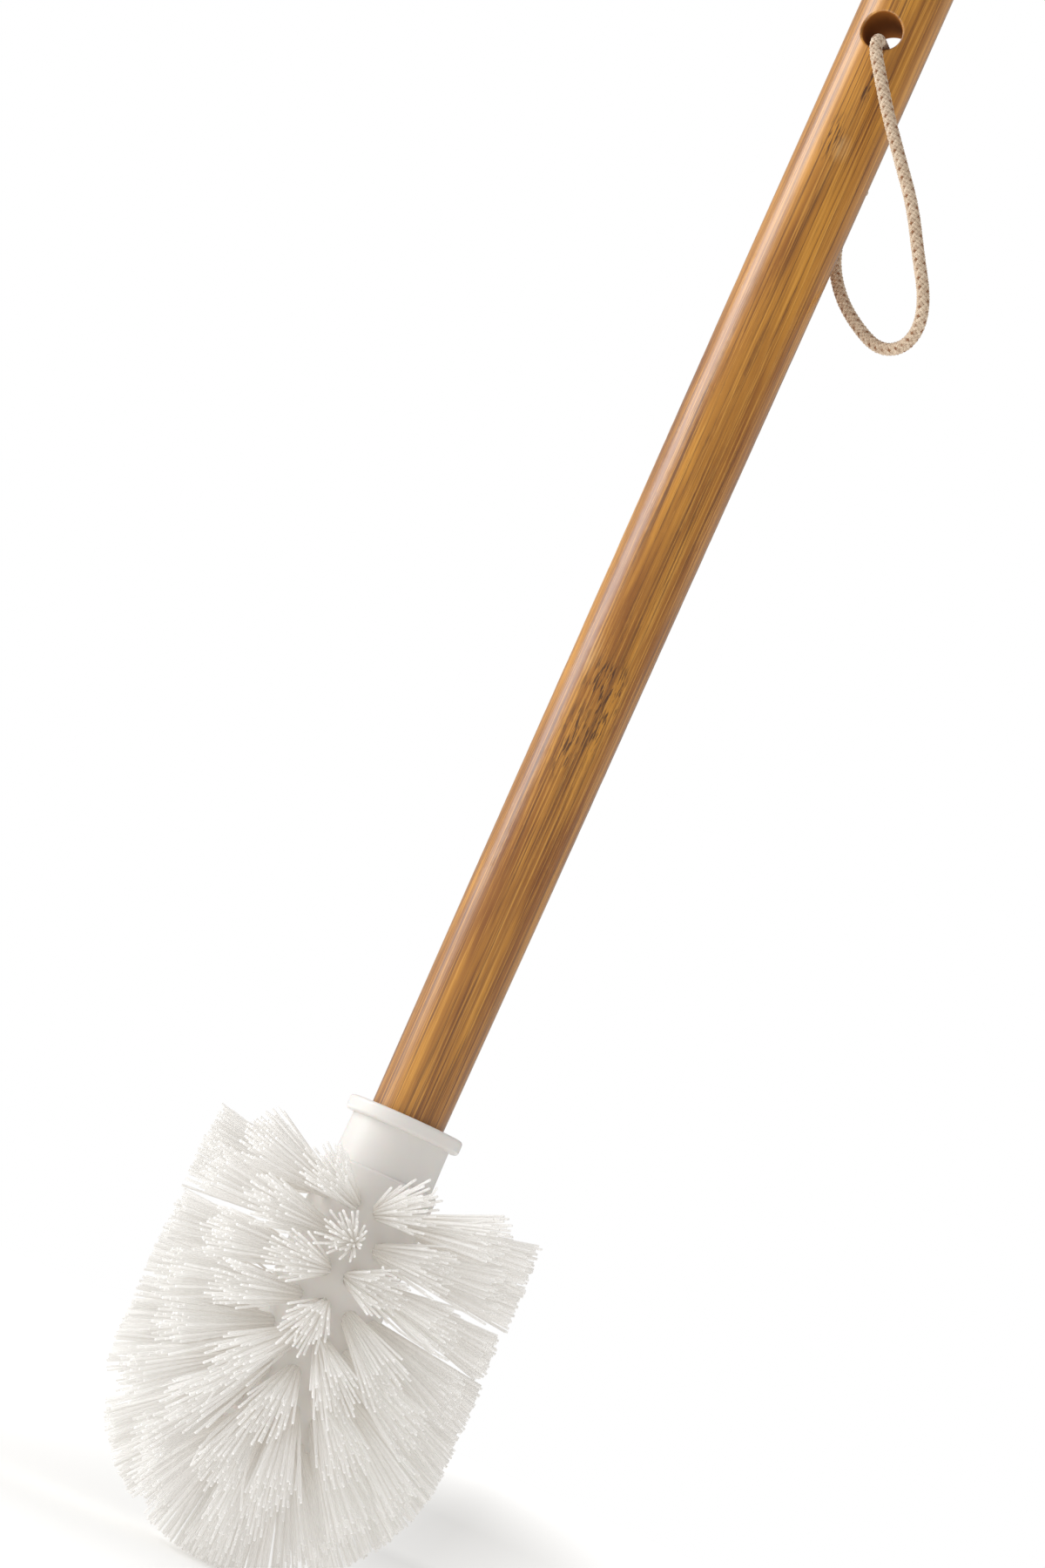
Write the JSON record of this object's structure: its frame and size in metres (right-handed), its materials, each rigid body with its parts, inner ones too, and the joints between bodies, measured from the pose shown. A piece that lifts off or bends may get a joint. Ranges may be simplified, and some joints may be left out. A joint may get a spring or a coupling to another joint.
{
  "type": "toilet brush",
  "caption": "Toilet brush: round turned bamboo handle with a cotton cord loop at its end, white moulded collar and a round-ended head of white nylon tufts.",
  "frame": {"origin": "lowest point of the bristles, on the handle's axis", "axes": "+Z along the handle from the bristles to its end, Y along the handle's cross hole, +X towards the side on which the cord loop hangs"},
  "size_m": [0.0824, 0.0824, 0.4103],
  "materials": {
    "bamboo": "clear-lacquered caramel bamboo, fine dark fibres along the handle",
    "white_plastic": "smooth semi-gloss warm white moulding",
    "bristle_nylon": "translucent off-white nylon filaments",
    "anchor_wire": "flat steel anchor wire",
    "steel": "zinc-plated steel",
    "cotton_cord": "braided natural cotton with brown tracer yarn"
  },
  "bodies": {
    "brush": {"handle": "bamboo", "dowel_screw": "steel", "head_core": "white_plastic", "tufts_row_1": "bristle_nylon", "tufts_row_2": "bristle_nylon", "tufts_row_3": "bristle_nylon", "tufts_row_4": "bristle_nylon", "tufts_row_5": "bristle_nylon", "tufts_row_6": "bristle_nylon", "tufts_row_7": "bristle_nylon", "tufts_row_8": "bristle_nylon", "tufts_row_9": "bristle_nylon", "tufts_row_10": "bristle_nylon", "anchors_row_1": "anchor_wire", "anchors_row_2": "anchor_wire", "anchors_row_3": "anchor_wire", "anchors_row_4": "anchor_wire", "anchors_row_5": "anchor_wire", "anchors_row_6": "anchor_wire", "anchors_row_7": "anchor_wire", "anchors_row_8": "anchor_wire", "anchors_row_9": "anchor_wire", "anchors_row_10": "anchor_wire"},
    "hanging_loop": {"hanging_cord": "cotton_cord", "cord_knot": "cotton_cord"}
  },
  "joints": [
    {"name": "hanging_loop_swing", "type": "hinge", "parent": "brush", "child": "hanging_loop", "pos_m": [0, 0, 0.3913], "axis": [0, -1, 0], "range_deg": [0, 310]}
  ]
}
